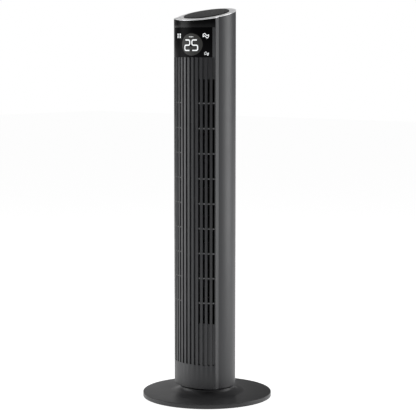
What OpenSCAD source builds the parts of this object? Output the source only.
// Tower fan on a round base: an oscillating cross-flow fan with a ribbed front grille and a slanted top.
// Origin: centre of the base on the floor. +Z up, the fan blows towards -Y. Millimetres.

/* [Base] */
// Diameter of the round base
base_d = 300; // [250:1:360]
// Height of the base's flat top above the floor
base_top = 11.5; // [11:0.5:18]
// Wall thickness of the base cover
base_wall = 2.4; // [1.8:0.1:3]
// Height of the rubber feet
foot_h = 1.2; // [0.8:0.1:2]
// Number of rubber feet
foot_count = 6; // [4:1:8]
// Diameter of one rubber foot
foot_d = 18; // [12:1:24]
// Thickness of the base's bottom plate
plate_t = 2; // [1.5:0.1:3]
// Thickness of the steel ballast ring
weight_t = 4; // [2:0.5:5]
// Radius of the raised hub that carries the tower
hub_r = 63.5; // [58:0.5:75]
// Height of the hub above the flat top
hub_h = 14; // [10:0.5:20]
// How far the hub's foot flares out onto the flat top
hub_flare = 26; // [10:0.5:32]

/* [Swivel] */
// Open gap between the hub and the tower's lower rim
swing_gap = 3.4; // [2:0.1:5]
// Radius of the pivot post in its bush
post_r = 18; // [14:0.5:20]
// Radius of the cable way through the post
post_bore_r = 9; // [5:0.5:10]
// Radial running clearance of post, shafts and bushes
run_clear = 0.05; // [0.02:0.01:0.09]
// Module of the swing gears
gear_mod = 1.2; // [1:0.1:1.3]
// Teeth on the fixed gear
gear_teeth = 44; // [40:1:46]
// Teeth on the swing motor's pinion
pinion_teeth = 14; // [12:1:16]
// Face width of the gears
gear_t = 6; // [4:0.5:8]
// Backlash along the pitch circle
backlash = 0.35; // [0.2:0.05:0.5]

/* [Tower section] */
// Height of the slanted top plane above the floor, at the tower's axis
fan_h = 889.4; // [700:1:1150]
// Slope of the top plane, rising to the rear
top_tilt = 12.4; // [5:0.1:18]
// Radius of the curved front
front_r = 100; // [92:1:125]
// Distance of the front's apex from the axis
front_y = 66; // [62:0.5:72]
// Half of the front shell's width at the seam
seam_half = 62.6; // [58:0.5:70]
// Radius of the round rear shell
rear_r = 67.7; // [64:0.5:82]
// Distance of the rear shell's centre in front of the axis
rear_shift = 2.2; // [0:0.1:4]
// Depth of the bright strip beside the seam
strip_l = 12.5; // [8:0.5:15]
// Wall thickness of the two shells
wall = 2.5; // [2:0.1:3]

/* [Front grille] */
// Height of the plain band below the grooves
plain_h = 55.3; // [35:1:80]
// Distance from the grooves' top end to the top plane, at the axis
head_h = 98.9; // [85:1:120]
// Number of vertical grooves
groove_count = 12; // [8:2:14]
// Grooves on each side that are open slots
open_count = 4; // [2:1:5]
// Angle between the outermost groove's middle and the seam
groove_edge = 2.842; // [2.2:0.001:6]
// Width of a groove
groove_w = 5.3; // [4:0.1:6]
// Depth of a groove
groove_d = 4; // [3:0.1:5]
// Wall left behind a closed groove
groove_floor = 2; // [1.5:0.1:3]
// Distance from the grooves' low end to the open slots
slot_low = 96.8; // [60:1:130]
// Distance from the open slots to the grooves' top end
slot_high = 48.9; // [30:1:80]
// Number of thin crossbars over the open slots
bar_count = 9; // [5:1:12]
// Thickness of a crossbar
bar_t = 3.3; // [2:0.1:5]
// How far a crossbar lies behind the ribs' face
bar_set = 1.3; // [0.5:0.1:2.5]

/* [Rear grille] */
// Number of columns of intake slots
intake_cols = 15; // [9:2:17]
// Number of rows of intake slots
intake_rows = 6; // [4:1:8]
// Width of an intake slot
intake_w = 3; // [2:0.1:3.6]
// Angle between columns of intake slots
intake_pitch = 5.2; // [4.6:0.1:5.4]
// Height of the bridge between two rows
intake_bridge = 9; // [5:1:15]

/* [Display and top] */
// Height of the display lens
display_h = 67.5; // [50:0.5:75]
// Angle between the display lens's side and the seam
display_edge = 4.257; // [2:0.001:10]
// Angle between the glossy header band's side and the seam
header_edge = 0.657; // [0.4:0.001:3]
// Thickness of the display lens and of the header band
lens_t = 1.6; // [1:0.1:2]
// Width of the trim ring
ring_w = 15.5; // [10:0.5:18]
// Corner radius of the top panel inside the ring
panel_round = 18; // [8:1:22]
// Height of the trim ring's outer lip
ring_lip = 1.4; // [1:0.1:3]
// How far the top panel stands over the ring
panel_proud = 2.2; // [0.8:0.1:3]
// Radius of the round sensor window in the top panel
sensor_r = 1.6; // [1:0.1:3]

/* [Blower] */
// Radius of the cross-flow impeller
wheel_r = 36; // [30:0.5:38]
// Distance of the impeller's axis behind the tower's axis
wheel_y = 10; // [6:0.5:12]
// Number of blades
blade_count = 24; // [16:1:30]
// Number of impeller sections
wheel_sections = 9; // [5:1:12]
// Radial depth of a blade
blade_d = 11; // [8:0.5:12]
// Thickness of a blade
blade_t = 1; // [0.8:0.1:1.4]
// Thickness of an impeller disc
disc_t = 1.8; // [1.2:0.1:3]
// Thickness of the blower frame's end plates
frame_t = 8; // [7:0.5:10]
// Thickness of the air guide walls
guide_t = 2; // [1.5:0.1:3]
// Clearance between impeller and air guides
guide_clear = 5; // [3:0.5:7]
// Radius of the fan motor's housing
motor_r = 41; // [36:0.5:43]
// Height of the fan motor's housing
motor_h = 50; // [42:1:60]
// Radius of the motor shaft
shaft_r = 4; // [3:0.5:5]

/* [Hidden] */
$fn = 96;
eps = 0.01;
big = 400;
touch = 0.1;      // gap between faces that slide on each other
seat = 0.3;       // assembly gap between a shell and what sits inside it

// base
base_r = base_d / 2;
base_edge = 1.8;                          // bevel on the cover's top edge
cover_under = base_top - base_wall;
hub_z = base_top + hub_h;                 // hub's top face
weight_z = foot_h + plate_t;
weight_out = base_r - base_wall - 8;
weight_in = hub_r - 24;
foot_ring_r = base_r - foot_d;
base_screw_count = 5;
base_screw_r = 1.75;
base_screw_ring = (hub_r + hub_flare + foot_ring_r - foot_d / 2) / 2;
base_boss_r = 4.2;
base_boss_gap = 0.8;                      // between a boss and its hole in the weight
hub_edge = 1;                             // rounding of the hub's top edge

// swivel
rim_z = hub_z + swing_gap;                // the tower's lower rim
washer_t = 1.5;
washer_z = hub_z;
washer_out = post_r + 14;
floor_t = 3;
floor_z = rim_z + 0.6;                    // underside of the tower's floor
bush_t = 3;
bush_out = post_r + run_clear + bush_t;
boss_low = washer_z + washer_t + touch;   // underside of the tower's thrust boss
bush_top = floor_z + floor_t + 4;
gear_z = bush_top + 0.6;
gear_top = gear_z + gear_t;
neck_r = post_r - 3;                      // post's reduced neck, which carries the gear
tip_r = neck_r - 2;                       // post's tip, which carries the retaining ring
clip_t = 1.5;
clip_out = neck_r + 4;
post_top = gear_top + clip_t;
post_flange_r = post_r + 14;
post_flange_t = 3;
gear_pitch_r = gear_mod * gear_teeth / 2;
pinion_pitch_r = gear_mod * pinion_teeth / 2;
gear_gap = gear_pitch_r + pinion_pitch_r + 0.15;
press_angle = 20;
swing_shaft_r = 3;
swing_motor_r = 24;
swing_motor_h = 15;
bridge_t = 2.5;
bridge_z = post_top + 2.5;                // underside of the swing motor's bracket
swing_motor_z = bridge_z + bridge_t;
swing_motor_y = -gear_gap + 8;            // the output shaft sits off the motor's centre

// tower section: an arc in front, a round rear, a straight strip between them
front_c = front_r - front_y;
seam_angle = asin(seam_half / front_r);   // half of the front arc's angle
function front_reach(i) = front_c - sqrt(pow(front_r - i, 2) - pow(seam_half - i, 2));
function rear_x(i, y) = sqrt(pow(rear_r - i, 2) - pow(y + rear_shift, 2));
seam_y = front_reach(0);
strip_y = seam_y + strip_l;
tower_rear = rear_r - rear_shift;
plane_rise = tan(top_tilt);

// grille
grille_z0 = rim_z + plain_h;
grille_z1 = fan_h - head_h;
slot_z0 = grille_z0 + slot_low;
slot_z1 = grille_z1 - slot_high;
slot_h = slot_z1 - slot_z0;
bar_pitch = slot_h / (bar_count + 0.8);
bar_first = slot_z0 + 0.85 * bar_pitch;
grille_in_r = front_r - groove_d - groove_floor;
groove_pitch = 2 * (seam_angle - groove_edge) / (groove_count - 1);
display_half = seam_angle - display_edge;
header_half = seam_angle - header_edge;
open_out = (groove_count - 1) / 2 * groove_pitch;
open_in = open_out - (open_count - 1) * groove_pitch;
display_z1 = grille_z1 + display_h;
window_half = 20;
window_margin = 12;
rib_x = 42;
rib_t = 2.5;
board_y = front_c - sqrt(pow(front_r - wall, 2) - pow(rib_x, 2)) + 5;

// blower
frame_in = wall + seat;                   // the frame fits inside the shells
frame_z0 = slot_z0 - 12;                  // top face of the lower end plate
frame_z1 = slot_z1 + 8;                   // underside of the upper end plate
lower_plate_z = frame_z0 - frame_t;
wheel_z0 = frame_z0 + 3;
wheel_z1 = frame_z1 - 3;
wheel_h = wheel_z1 - wheel_z0;
guide_r = wheel_r + guide_clear;
motor_gap = 4;
motor_z1 = lower_plate_z - motor_gap;
motor_z0 = motor_z1 - motor_h;
motor_wall = 2.5;
motor_split = motor_z0 + motor_h * 0.6;
bearing_r = shaft_r + 4;
bearing_h = 7;
air_gap = 0.4;
rotor_r = motor_r * 0.5;
stator_out = motor_r - motor_wall;
core_z0 = motor_z0 + 14;
core_z1 = motor_z1 - 14;
winding_t = 6;
top_shaft_r = 3;
top_bush_r = 8;
mount_ring = motor_r - 6;
mount_r = 4;
board_t = 1.6;
board_post_h = 8;
post_size = 6;

sensor_x = 14;
sensor_y = 2;

// screws through the rear shell
screw_x = 12;
screw_r = 1.5;
screw_head_r = 3.4;
screw_head_t = 1.9;
screw_seat = sqrt(pow(rear_r, 2) - pow(screw_x + screw_head_r + 0.6, 2)) - rear_shift - 0.4;
screw_len = 13;
skirt_t = 3;
housing_wall_z = floor_z + floor_t + 24;
cap_skirt_h = 34;
screw_zs = [floor_z + floor_t + 12, lower_plate_z + frame_t / 2, frame_z1 + frame_t / 2,
    fan_h + tower_rear * plane_rise - ring_lip - cap_skirt_h + 8];

// cord gland
gland_z = housing_wall_z + 16;
gland_r = 6;
gland_bore_r = 3.3;
gland_lip = 1.5;

// ---- shared shapes ----

// Outline of the tower's front part, pulled in by i
module front_part(i) {
    intersection() {
        translate([0, front_c]) circle(r = front_r - i, $fn = 180);
        translate([-seam_half + i, -big]) square([2 * (seam_half - i), big + front_reach(i)]);
    }
}

// Outline of the tower's rear part, pulled in by i at the sides and by j at the rear
module rear_part(i, j) {
    r_low = front_reach(i);
    intersection() {
        translate([0, -rear_shift]) circle(r = rear_r - j, $fn = 180);
        translate([-big / 2, strip_y]) square([big, big]);
    }
    polygon([
        [-seam_half + i, r_low], [seam_half - i, r_low],
        [rear_x(j, strip_y), strip_y + eps], [-rear_x(j, strip_y), strip_y + eps]
    ]);
}

module tower_section(i, j) {
    front_part(i);
    rear_part(i, j);
    translate([-seam_half / 2, front_reach(i) - 3]) square([seam_half, 6]);
}

// Everything above the slanted top plane, lifted by dz
module above_top(dz) {
    translate([0, 0, fan_h + dz]) rotate([top_tilt, 0, 0]) translate([-big, -big, 0])
        cube([2 * big, 2 * big, big]);
}

// A vertical prism of a 2D outline from z0 up to the slanted plane lifted by dz
module prism_to_top(z0, dz) {
    difference() {
        translate([0, 0, z0]) linear_extrude(height = fan_h + 60 - z0) children();
        above_top(dz);
    }
}

// A vertical prism of a 2D outline between the slanted planes lifted by dz0 and dz1
module slanted_slab(dz0, dz1) {
    intersection() {
        prism_to_top(fan_h - 80, dz1) children();
        above_top(dz0);
    }
}

module wedge(half) {
    reach = 2 * front_r;
    polygon([
        [0, front_c],
        [-reach * sin(half), front_c - reach * cos(half)],
        [reach * sin(half), front_c - reach * cos(half)]
    ]);
}

// The room that the front shell may fill: ahead of the seam, or between the rear shell's side strips
module front_room() {
    free_half = seam_half - wall - seat;
    translate([-big, -2 * big]) square([2 * big, 2 * big + seam_y]);
    translate([-free_half, -big]) square([2 * free_half, big + strip_y]);
}

// Band of the front's arc between two insets, within half an angle each way
module front_band(i0, i1, half) {
    intersection() {
        difference() {
            translate([0, front_c]) circle(r = front_r - i0, $fn = 180);
            translate([0, front_c]) circle(r = front_r - i1, $fn = 180);
        }
        wedge(half);
        front_room();
    }
}

module ring(r_out, r_in, h) {
    difference() {
        cylinder(r = r_out, h = h);
        translate([0, 0, -1]) cylinder(r = r_in, h = h + 2);
    }
}

module at_wheel(z) {
    translate([0, wheel_y, z]) children();
}

module around(count, radius, start = 0) {
    for (k = [0 : count - 1]) rotate([0, 0, start + k * 360 / count]) translate([radius, 0, 0]) children();
}

// Places something at every screw through the rear shell, with +Z turned to the rear
module at_shell_screws(zs) {
    for (z = zs, side = [-1, 1]) translate([side * screw_x, screw_seat, z]) rotate([-90, 0, 0]) children();
}

module screw_holes(zs, r) {
    at_shell_screws(zs) translate([0, 0, -screw_len]) cylinder(r = r, h = screw_len + 1, $fn = 32);
}

// Involute gear outline
function involute_deg(r, r_base) = tan(acos(r_base / r)) * 180 / PI - acos(r_base / r);
function half_tooth(r, teeth, r_base) = 90 / teeth
    - backlash / 2 / (gear_mod * teeth / 2) * 180 / PI
    + tan(press_angle) * 180 / PI - press_angle - involute_deg(r, r_base);
module gear_outline(teeth) {
    r_pitch = gear_mod * teeth / 2;
    r_base = r_pitch * cos(press_angle);
    r_root = r_pitch - 1.25 * gear_mod;
    r_tip = r_pitch + gear_mod;
    r_start = max(r_base, r_root) + eps;
    steps = 4;
    radii = [for (s = [0 : steps]) r_start + (r_tip - r_start) * s / steps];
    polar = [for (t = [0 : teeth - 1])
        let (mid = t * 360 / teeth, root_half = half_tooth(r_start, teeth, r_base))
        each concat(
            [[r_root, mid - root_half]],
            [for (s = [0 : steps]) [radii[s], mid - half_tooth(radii[s], teeth, r_base)]],
            [for (s = [steps : -1 : 0]) [radii[s], mid + half_tooth(radii[s], teeth, r_base)]],
            [[r_root, mid + root_half]]
        )
    ];
    polygon([for (p = polar) [p[0] * cos(p[1]), p[0] * sin(p[1])]]);
}

// ---- base ----

// Point on the hub's flared side: a = 0 on the flat top, a = 90 under the hub's edge
function hub_curve(a) =
    [hub_r + hub_flare * (1 - sin(a)), base_top + (hub_h - hub_edge) * (1 - cos(a))];

module base_cover_shell() {
    rotate_extrude($fn = 180) polygon(concat(
        [[post_r + 1, hub_z - base_wall], [hub_r - base_wall, hub_z - base_wall]],
        [for (a = [90 : -10 : 0]) hub_curve(a) - [base_wall, base_wall]],
        [
            [base_r - base_wall, cover_under],
            [base_r - base_wall, foot_h], [base_r, foot_h],
            [base_r, base_top - base_edge], [base_r - base_edge, base_top]
        ],
        [for (a = [0 : 10 : 90]) hub_curve(a)],
        [[hub_r - hub_edge, hub_z], [post_r + 1, hub_z]]
    ));
}

module base_cover() {
    color([0.2, 0.2, 0.21]) difference() {
        union() {
            base_cover_shell();
            around(base_screw_count, base_screw_ring, 90) translate([0, 0, weight_z])
                cylinder(r = base_boss_r, h = cover_under + eps - weight_z, $fn = 32);
        }
        around(4, post_flange_r - 6, 45) translate([0, 0, hub_z - base_wall - 1])
            cylinder(r = base_screw_r, h = base_wall + 2, $fn = 32);
        around(base_screw_count, base_screw_ring, 90) translate([0, 0, weight_z - 1])
            cylinder(r = base_screw_r, h = cover_under - weight_z + 1, $fn = 32);
    }
}

module base_plate() {
    color([0.12, 0.12, 0.13]) difference() {
        translate([0, 0, foot_h]) cylinder(r = base_r - base_wall - 0.4, h = plate_t);
        around(base_screw_count, base_screw_ring, 90) translate([0, 0, -1])
            cylinder(r = base_screw_r, h = 12, $fn = 32);
    }
}

module base_weight() {
    color([0.45, 0.46, 0.48]) difference() {
        translate([0, 0, weight_z]) ring(weight_out, weight_in, weight_t);
        around(base_screw_count, base_screw_ring, 90) translate([0, 0, weight_z - 1])
            cylinder(r = base_boss_r + base_boss_gap, h = weight_t + 2, $fn = 32);
    }
}

module rubber_feet() {
    color([0.07, 0.07, 0.07]) around(foot_count, foot_ring_r) cylinder(r = foot_d / 2, h = foot_h);
}

module base_screws() {
    color([0.6, 0.6, 0.62]) around(base_screw_count, base_screw_ring, 90) {
        translate([0, 0, foot_h - 0.9]) cylinder(r = 3.2, h = 0.9, $fn = 32);
        translate([0, 0, foot_h - eps]) cylinder(r = base_screw_r, h = cover_under - foot_h - 0.2, $fn = 32);
    }
}

module pivot_post() {
    color([0.75, 0.75, 0.72]) difference() {
        union() {
            translate([0, 0, hub_z - base_wall - post_flange_t]) cylinder(r = post_flange_r, h = post_flange_t);
            translate([0, 0, hub_z - base_wall - eps]) cylinder(r = post_r, h = gear_z - hub_z + base_wall + eps);
            translate([0, 0, gear_z - eps]) cylinder(r = neck_r, h = gear_t + eps);
            translate([0, 0, gear_top - eps]) cylinder(r = tip_r, h = clip_t + eps);
        }
        translate([0, 0, hub_z - 20]) cylinder(r = post_bore_r, h = post_top - hub_z + 40);
        around(4, post_flange_r - 6, 45) translate([0, 0, hub_z - 10])
            cylinder(r = base_screw_r, h = 20, $fn = 32);
    }
}

module thrust_washer() {
    color([0.85, 0.85, 0.82]) translate([0, 0, washer_z]) ring(washer_out, post_r + 0.4, washer_t);
}

module swing_gear() {
    color([0.9, 0.9, 0.86]) translate([0, 0, gear_z]) difference() {
        linear_extrude(height = gear_t) gear_outline(gear_teeth);
        translate([0, 0, -1]) cylinder(r = neck_r, h = gear_t + 2);
    }
}

module retaining_ring() {
    color([0.6, 0.6, 0.62]) translate([0, 0, gear_top]) ring(clip_out, tip_r, clip_t);
}

// ---- tower floor and swing drive ----

module bottom_housing() {
    color([0.14, 0.14, 0.15]) difference() {
        union() {
            translate([0, 0, floor_z]) linear_extrude(height = floor_t) tower_section(frame_in, frame_in);
            translate([0, 0, floor_z]) linear_extrude(height = housing_wall_z - floor_z) difference() {
                tower_section(frame_in, frame_in);
                tower_section(frame_in + skirt_t, frame_in + skirt_t);
            }
            translate([0, 0, boss_low]) cylinder(r = bush_out + 8, h = floor_z - boss_low + eps);
            translate([0, 0, floor_z + floor_t - eps]) cylinder(r = bush_out + 3, h = 3);
        }
        translate([0, 0, boss_low - 1]) cylinder(r = bush_out, h = 40);
        screw_holes([screw_zs[0]], screw_r);
    }
}

module swivel_bush() {
    color([0.92, 0.92, 0.88]) {
        translate([0, 0, boss_low]) ring(bush_out, post_r + run_clear, bush_top - boss_low);
    }
}

module swing_bracket() {
    bridge_w = 2 * swing_motor_r + 14;
    leg_w = 12;
    color([0.55, 0.56, 0.58]) difference() {
        union() {
            translate([-bridge_w / 2, swing_motor_y - leg_w / 2, bridge_z])
                cube([bridge_w, leg_w, bridge_t]);
            translate([0, swing_motor_y, bridge_z]) cylinder(r = swing_motor_r - 1, h = bridge_t);
            for (side = [-1, 1])
                translate([side * (bridge_w / 2 - 1.5) - 1.5, swing_motor_y - leg_w / 2, floor_z + floor_t])
                    cube([3, leg_w, bridge_z - floor_z - floor_t + eps]);
        }
        translate([0, -gear_gap, bridge_z - 1]) cylinder(r = swing_shaft_r + 2, h = bridge_t + 2);
    }
}

module swing_motor() {
    color([0.7, 0.71, 0.73]) difference() {
        union() {
            translate([0, swing_motor_y, swing_motor_z]) cylinder(r = swing_motor_r, h = swing_motor_h);
            for (side = [-1, 1]) translate([side * (swing_motor_r + 3), swing_motor_y, swing_motor_z])
                cylinder(r = 4, h = 1.2, $fn = 32);
            translate([-swing_motor_r - 3, swing_motor_y - 4, swing_motor_z])
                cube([2 * swing_motor_r + 6, 8, 1.2]);
        }
        translate([0, -gear_gap, swing_motor_z - 1]) cylinder(r = swing_shaft_r + run_clear, h = 7);
    }
}

module swing_pinion() {
    phase = 180 / pinion_teeth + (pinion_teeth % 2 == 0 ? 0 : 180 / pinion_teeth);
    mesh = gear_teeth % 4 == 0 ? 0 : 180 / gear_teeth;
    color([0.92, 0.92, 0.88]) translate([0, -gear_gap, gear_z]) difference() {
        rotate([0, 0, 90 + phase + mesh * gear_teeth / pinion_teeth])
            linear_extrude(height = gear_t) gear_outline(pinion_teeth);
        translate([0, 0, -1]) cylinder(r = swing_shaft_r, h = gear_t + 2);
    }
}

module swing_shaft() {
    color([0.7, 0.7, 0.72]) translate([0, -gear_gap, gear_z])
        cylinder(r = swing_shaft_r, h = swing_motor_z - gear_z + 5);
}

// ---- shells ----

module groove(angle, z0, z1, depth) {
    translate([0, front_c, z0]) rotate([0, 0, angle]) translate([-groove_w / 2, -front_r - 2, 0])
        cube([groove_w, depth + 2, z1 - z0]);
}

module crossbar_bands() {
    intersection() {
        for (k = [0 : bar_count - 1]) translate([0, 0, bar_first + k * bar_pitch - bar_t / 2])
            linear_extrude(height = bar_t) front_band(bar_set, groove_d + groove_floor, open_out + 3);
        for (side = [-1, 1]) translate([0, front_c, slot_z0]) rotate([0, 0, side * (open_in + open_out) / 2])
            translate([-front_r * sin((open_out - open_in) / 2 + 2), -front_r - 1, 0])
                cube([2 * front_r * sin((open_out - open_in) / 2 + 2), 12, slot_h]);
    }
}

module front_shell() {
    color([0.22, 0.22, 0.23]) {
        difference() {
            union() {
                prism_to_top(rim_z, -ring_lip) difference() {
                    front_part(0);
                    translate([0, front_c]) circle(r = front_r - wall, $fn = 180);
                }
                translate([0, 0, grille_z0 - 3]) linear_extrude(height = grille_z1 - grille_z0 + 3)
                    front_band(wall / 2, groove_d + groove_floor, open_out + 2);
                for (side = [-1, 1]) translate([side * rib_x - rib_t / 2, board_y - 8, grille_z1 + 5])
                    cube([rib_t, 8, display_h - 10]);
            }
            for (k = [0 : groove_count - 1]) groove((k - (groove_count - 1) / 2) * groove_pitch,
                grille_z0, grille_z1 - eps, groove_d);
            for (side = [-1, 1], k = [0 : open_count - 1])
                groove(side * (open_in + k * groove_pitch), slot_z0, slot_z1, groove_d + groove_floor + 3);
            translate([0, 0, grille_z1]) linear_extrude(height = display_h)
                front_band(-1, lens_t, display_half);
            prism_to_top(display_z1, 10) front_band(-1, lens_t, header_half);
            translate([-window_half, -front_y - 2, grille_z1 + window_margin])
                cube([2 * window_half, 14, display_h - 2 * window_margin]);
        }
        crossbar_bands();
    }
}

module rear_shell() {
    field = slot_z1 - slot_z0;
    row_h = (field - (intake_rows - 1) * intake_bridge) / intake_rows;
    color([0.26, 0.26, 0.27]) difference() {
        prism_to_top(rim_z, -ring_lip) difference() {
            rear_part(0, 0);
            rear_part(wall, wall);
            translate([-seam_half + wall, -big]) square([2 * (seam_half - wall), big + strip_y - 4]);
        }
        for (c = [0 : intake_cols - 1], r = [0 : intake_rows - 1])
            translate([0, -rear_shift, slot_z0 + r * (row_h + intake_bridge)])
                rotate([0, 0, (c - (intake_cols - 1) / 2) * intake_pitch])
                    translate([-intake_w / 2, rear_r - 6, 0]) cube([intake_w, 10, row_h]);
        screw_holes(screw_zs, screw_r + 0.1);
        at_shell_screws(screw_zs) cylinder(r = screw_head_r + 0.4, h = 8, $fn = 48);
        translate([0, tower_rear - 8, gland_z]) rotate([-90, 0, 0]) cylinder(r = gland_r, h = 12, $fn = 48);
    }
}

module shell_screws() {
    color([0.15, 0.15, 0.16]) at_shell_screws(screw_zs) {
        cylinder(r = screw_head_r, h = screw_head_t, $fn = 48);
        translate([0, 0, -screw_len + 1]) cylinder(r = screw_r, h = screw_len - 1 + eps, $fn = 32);
    }
}

module cord_gland() {
    color([0.08, 0.08, 0.08]) translate([0, tower_rear, gland_z]) rotate([-90, 0, 0]) difference() {
        union() {
            translate([0, 0, -wall - 3]) cylinder(r = gland_r, h = wall + 3 + gland_lip, $fn = 48);
            cylinder(r = gland_r + 2, h = gland_lip, $fn = 48);
        }
        translate([0, 0, -wall - 4]) cylinder(r = gland_bore_r, h = wall + 8, $fn = 48);
    }
}

// ---- blower ----

module blower_frame() {
    frame_h = frame_z1 - frame_z0;
    side_x = seam_half - wall - 6;
    color([0.16, 0.16, 0.17]) difference() {
        union() {
            for (z = [lower_plate_z, frame_z1]) translate([0, 0, z]) linear_extrude(height = frame_t)
                difference() {
                    tower_section(frame_in, frame_in);
                    translate([0, front_c]) difference() {
                        circle(r = front_r + 10);
                        circle(r = grille_in_r - seat, $fn = 180);
                    }
                }
            // scroll wall on the left, cut-off wall on the right
            at_wheel(frame_z0 - eps) linear_extrude(height = frame_h + 2 * eps) {
                intersection() {
                    difference() {
                        circle(r = guide_r + guide_t);
                        circle(r = guide_r);
                    }
                    polygon([[0, 0], [-big * 0.6, big], [-big, big], [-big, -big * 0.35]]);
                }
                intersection() {
                    difference() {
                        circle(r = guide_r + guide_t);
                        circle(r = guide_r);
                    }
                    polygon([[0, 0], [big, -big * 0.1], [big, -big * 0.75]]);
                }
            }
            for (side = [-1, 1])
                translate([side * (guide_r - 1) - guide_t / 2, wheel_y - guide_r * 0.9, frame_z0 - eps])
                cube([guide_t, guide_r * 0.6, frame_h + 2 * eps]);
            for (x = [-1, 1], y = [-1, 1])
                translate([x * 26 - post_size / 2, y * 20 - post_size / 2, frame_z1 + frame_t - eps])
                    cube([post_size, post_size, board_post_h + eps]);
        }
        at_wheel(lower_plate_z - 1) cylinder(r = shaft_r + 3, h = frame_t + 2);
        at_wheel(frame_z1 - 1) cylinder(r = top_bush_r, h = frame_t + 2);
        at_wheel(lower_plate_z - 1) around(4, mount_ring, 45) cylinder(r = 1.5, h = 6, $fn = 32);
        screw_holes([screw_zs[1], screw_zs[2]], screw_r);
    }
}

module blade_section() {
    chord_r = blade_d * 0.85;
    mid_r = wheel_r - blade_d / 2 - 0.6;
    translate([mid_r, chord_r * 0.62]) intersection() {
        difference() {
            circle(r = chord_r, $fn = 48);
            circle(r = chord_r - blade_t, $fn = 48);
        }
        translate([-blade_d / 2, -chord_r * 1.2]) square([blade_d, chord_r * 0.9]);
    }
}

module impeller() {
    pitch = (wheel_h - disc_t) / wheel_sections;
    color([0.1, 0.1, 0.11]) at_wheel(wheel_z0) difference() {
        union() {
            linear_extrude(height = wheel_h) around(blade_count, 0) blade_section();
            cylinder(r = wheel_r, h = disc_t);
            translate([0, 0, wheel_h - disc_t]) cylinder(r = wheel_r, h = disc_t);
            for (k = [1 : wheel_sections - 1]) translate([0, 0, k * pitch])
                ring(wheel_r, wheel_r - blade_d - 2, disc_t);
            cylinder(r = shaft_r + 5, h = 22);
            translate([0, 0, wheel_h - 14]) cylinder(r = top_shaft_r + 4, h = 14);
        }
        translate([0, 0, -1]) cylinder(r = shaft_r, h = 20);
        translate([0, 0, wheel_h - 12]) cylinder(r = top_shaft_r, h = 13);
    }
}

module motor_shaft() {
    color([0.75, 0.76, 0.78]) at_wheel(motor_z0 + 3) cylinder(r = shaft_r, h = wheel_z0 + 19 - motor_z0 - 3);
}

module top_shaft() {
    color([0.75, 0.76, 0.78]) at_wheel(wheel_z1 - 12) cylinder(r = top_shaft_r, h = 12 + 3 + frame_t - 1);
}

module top_bearing() {
    color([0.7, 0.55, 0.3]) at_wheel(frame_z1) ring(top_bush_r, top_shaft_r + run_clear, frame_t);
}

module motor_housing() {
    color([0.62, 0.63, 0.65]) at_wheel(motor_z0) difference() {
        cylinder(r = motor_r, h = motor_split - motor_z0);
        translate([0, 0, motor_wall]) cylinder(r = stator_out, h = motor_h);
        translate([0, 0, -1]) cylinder(r = bearing_r, h = motor_wall + 2);
    }
}

module motor_cover() {
    color([0.62, 0.63, 0.65]) at_wheel(motor_split) difference() {
        cylinder(r = motor_r, h = motor_z1 - motor_split);
        translate([0, 0, -1]) cylinder(r = stator_out, h = motor_z1 - motor_split - motor_wall + 1);
        cylinder(r = bearing_r, h = motor_h);
        around(4, mount_ring, 45) cylinder(r = 1.5, h = motor_h, $fn = 32);
    }
}

module motor_mounts() {
    color([0.1, 0.1, 0.1]) at_wheel(motor_z1) around(4, mount_ring, 45) ring(mount_r, 1.5, motor_gap, $fn = 32);
}

module motor_bearings() {
    color([0.75, 0.6, 0.35]) {
        at_wheel(motor_z0) ring(bearing_r, shaft_r + run_clear, bearing_h);
        at_wheel(motor_z1 - bearing_h) ring(bearing_r, shaft_r + run_clear, bearing_h);
    }
}

module stator_core() {
    color([0.5, 0.5, 0.52]) at_wheel(core_z0) difference() {
        cylinder(r = stator_out, h = core_z1 - core_z0);
        translate([0, 0, -1]) cylinder(r = rotor_r + air_gap, h = core_z1 - core_z0 + 2);
        around(12, rotor_r + 8, 15) translate([0, 0, -1]) cylinder(r = 2.6, h = core_z1 - core_z0 + 2, $fn = 32);
    }
}

module stator_windings() {
    color([0.72, 0.42, 0.2]) {
        for (z = [core_z0 - winding_t, core_z1]) at_wheel(z) ring(rotor_r + 12, rotor_r + 3, winding_t);
    }
}

module motor_rotor() {
    color([0.55, 0.55, 0.57]) at_wheel(core_z0) ring(rotor_r, shaft_r, core_z1 - core_z0);
}

// ---- electronics, display and top ----

module control_board() {
    color([0.1, 0.35, 0.18]) translate([-36, -28, frame_z1 + frame_t + board_post_h]) {
        cube([72, 56, board_t]);
        for (x = [10, 28, 48]) translate([x, 12, board_t - eps]) cube([12, 20, 9]);
    }
}

module display_board() {
    color([0.1, 0.35, 0.18]) translate([-rib_x - 3, board_y, grille_z1 + 8])
        cube([2 * rib_x + 6, board_t, display_h - 16]);
}

module display_lens() {
    color([0.03, 0.03, 0.035]) translate([0, 0, grille_z1]) linear_extrude(height = display_h)
        front_band(0, lens_t, display_half);
}

module header_band() {
    color([0.02, 0.02, 0.02]) prism_to_top(display_z1, -ring_lip) front_band(0, lens_t, header_half);
}

module top_cap() {
    skirt_z = fan_h + tower_rear * plane_rise - ring_lip - cap_skirt_h;
    color([0.14, 0.14, 0.15]) difference() {
        union() {
            slanted_slab(-ring_lip - 3, -ring_lip) tower_section(frame_in, frame_in);
            prism_to_top(skirt_z, -ring_lip - 1) translate([0, -rear_shift]) intersection() {
                difference() {
                    circle(r = rear_r - frame_in, $fn = 180);
                    circle(r = rear_r - frame_in - skirt_t, $fn = 180);
                }
                translate([-big / 2, rear_shift]) square([big, big]);
            }
        }
        screw_holes([screw_zs[3]], screw_r);
    }
}

module trim_ring() {
    color([0.85, 0.85, 0.86]) difference() {
        slanted_slab(-ring_lip, 0) tower_section(0, 0);
        slanted_slab(-ring_lip - 5, 5) panel_outline();
    }
}

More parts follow.
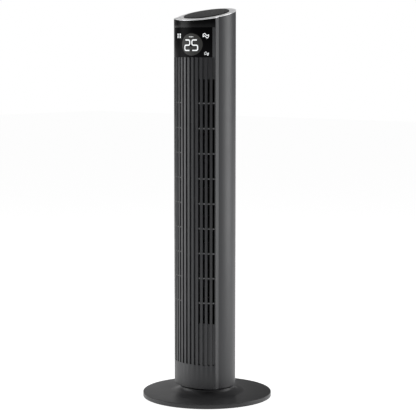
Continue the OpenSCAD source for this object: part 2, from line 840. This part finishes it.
// Outline of the panel: the front's and the rear's arcs moved in by the ring's width, corners rounded
module panel_outline() {
    front_in = front_r - ring_w;
    rear_in = rear_r - ring_w;
    gap = front_c + rear_shift;
    drop = ((front_in - panel_round) ^ 2 - (rear_in - panel_round) ^ 2 - gap ^ 2) / (2 * gap);
    corner = [sqrt((rear_in - panel_round) ^ 2 - drop ^ 2), -rear_shift - drop];
    to_front = (corner - [0, front_c]) / (front_in - panel_round);
    to_rear = (corner + [0, rear_shift]) / (rear_in - panel_round);
    on_front = [0, front_c] + front_in * to_front;
    on_rear = [0, -rear_shift] + rear_in * to_rear;
    difference() {
        intersection() {
            translate([0, front_c]) circle(r = front_in, $fn = 180);
            translate([0, -rear_shift]) circle(r = rear_in, $fn = 180);
        }
        for (side = [0, 1]) mirror([side, 0])
            polygon([on_front, on_front + 30 * to_front, on_rear + 30 * to_rear, on_rear]);
    }
    for (side = [-1, 1]) translate([side * corner[0], corner[1]]) circle(r = panel_round, $fn = 96);
}

module top_panel() {
    color([0.12, 0.12, 0.125]) difference() {
        slanted_slab(-ring_lip, panel_proud) panel_outline();
        translate([0, 0, fan_h]) rotate([top_tilt, 0, 0]) translate([sensor_x, sensor_y, -5])
            cylinder(r = sensor_r, h = 20, $fn = 48);
    }
}

module sensor_window() {
    color([0.6, 0.6, 0.62]) translate([0, 0, fan_h]) rotate([top_tilt, 0, 0])
        translate([sensor_x, sensor_y, panel_proud * cos(top_tilt) - 2]) cylinder(r = sensor_r, h = 2, $fn = 48);
}

base_cover();
base_plate();
base_weight();
rubber_feet();
base_screws();
pivot_post();
thrust_washer();
swing_gear();
retaining_ring();
bottom_housing();
swivel_bush();
swing_bracket();
swing_motor();
swing_pinion();
swing_shaft();
front_shell();
rear_shell();
shell_screws();
cord_gland();
blower_frame();
impeller();
motor_shaft();
top_shaft();
top_bearing();
motor_housing();
motor_cover();
motor_mounts();
motor_bearings();
stator_core();
stator_windings();
motor_rotor();
control_board();
display_board();
display_lens();
header_band();
top_cap();
trim_ring();
top_panel();
sensor_window();
